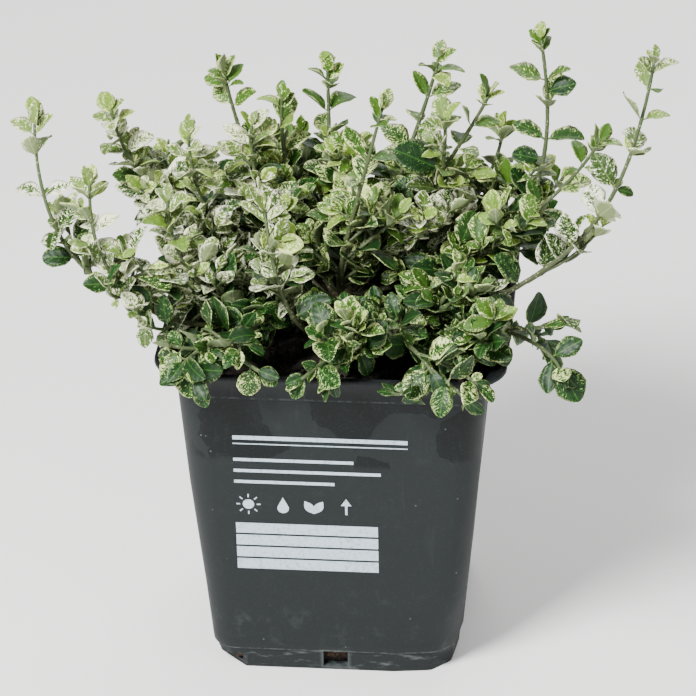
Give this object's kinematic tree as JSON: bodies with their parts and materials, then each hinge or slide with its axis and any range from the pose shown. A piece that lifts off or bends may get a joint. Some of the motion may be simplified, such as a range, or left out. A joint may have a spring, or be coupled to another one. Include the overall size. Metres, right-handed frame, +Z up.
{
  "type": "potted wintercreeper euonymus",
  "caption": "Young variegated wintercreeper shrub in a tapering square plastic nursery pot, with short upright and trailing shoots of small marbled leaves.",
  "frame": {"origin": "Centre of the pot's flat underside, on the surface it stands on.", "axes": "+Z up. -Y looks out of the pot's printed face, +X is to the right seen from that side. The long shoots spread along X."},
  "size_m": [0.1655, 0.1161, 0.1738],
  "materials": {
    "pot_plastic": null,
    "peat": "damp dark potting peat",
    "bark": "grey-green young bark",
    "silver_foliage": "cream-white leaves marbled with green",
    "marbled_foliage": "green leaves marbled and edged with cream",
    "lime_foliage": "young yellow-green leaves with cream edges"
  },
  "bodies": {
    "root": {"pot": "pot_plastic", "peat": "peat", "stem": "bark", "bough_far_left": "bark", "bough_left_back": "bark", "bough_left": "bark", "bough_left_inner": "bark", "bough_left_front": "bark", "bough_back_left": "bark", "bough_centre_left": "bark", "bough_centre_back_left": "bark", "bough_centre_back": "bark", "bough_centre": "bark", "bough_centre_back_right": "bark", "bough_centre_right": "bark", "bough_back_right": "bark", "bough_right_inner": "bark", "bough_tall_right": "bark", "bough_right": "bark", "bough_far_right": "bark", "bough_front_right": "bark", "bough_trailing_right": "bark", "bough_front": "bark", "bough_front_left": "bark", "bough_front_centre": "bark", "bough_trailing_left": "bark", "bough_trailing_front": "bark", "bough_rear_left": "bark", "bough_rear_middle_left": "bark", "bough_rear_middle_right": "bark", "bough_rear_right": "bark", "shoot_far_left": "silver_foliage", "shoot_left_back": "silver_foliage", "shoot_left": "silver_foliage", "shoot_left_inner": "silver_foliage", "shoot_left_front": "silver_foliage", "shoot_back_left": "marbled_foliage", "shoot_centre_left": "silver_foliage", "shoot_centre_back_left": "marbled_foliage", "shoot_centre_back": "marbled_foliage", "shoot_centre": "marbled_foliage", "shoot_centre_back_right": "marbled_foliage", "shoot_centre_right": "marbled_foliage", "shoot_back_right": "lime_foliage", "shoot_right_inner": "silver_foliage", "shoot_tall_right": "marbled_foliage", "shoot_right": "marbled_foliage", "shoot_far_right": "silver_foliage", "shoot_front_right": "lime_foliage", "shoot_trailing_right": "marbled_foliage", "shoot_front": "lime_foliage", "shoot_front_left": "silver_foliage", "shoot_front_centre": "lime_foliage", "shoot_trailing_left": "marbled_foliage", "shoot_trailing_front": "marbled_foliage", "shoot_rear_left": "marbled_foliage", "shoot_rear_middle_left": "marbled_foliage", "shoot_rear_middle_right": "marbled_foliage", "shoot_rear_right": "marbled_foliage"}
  },
  "joints": []
}
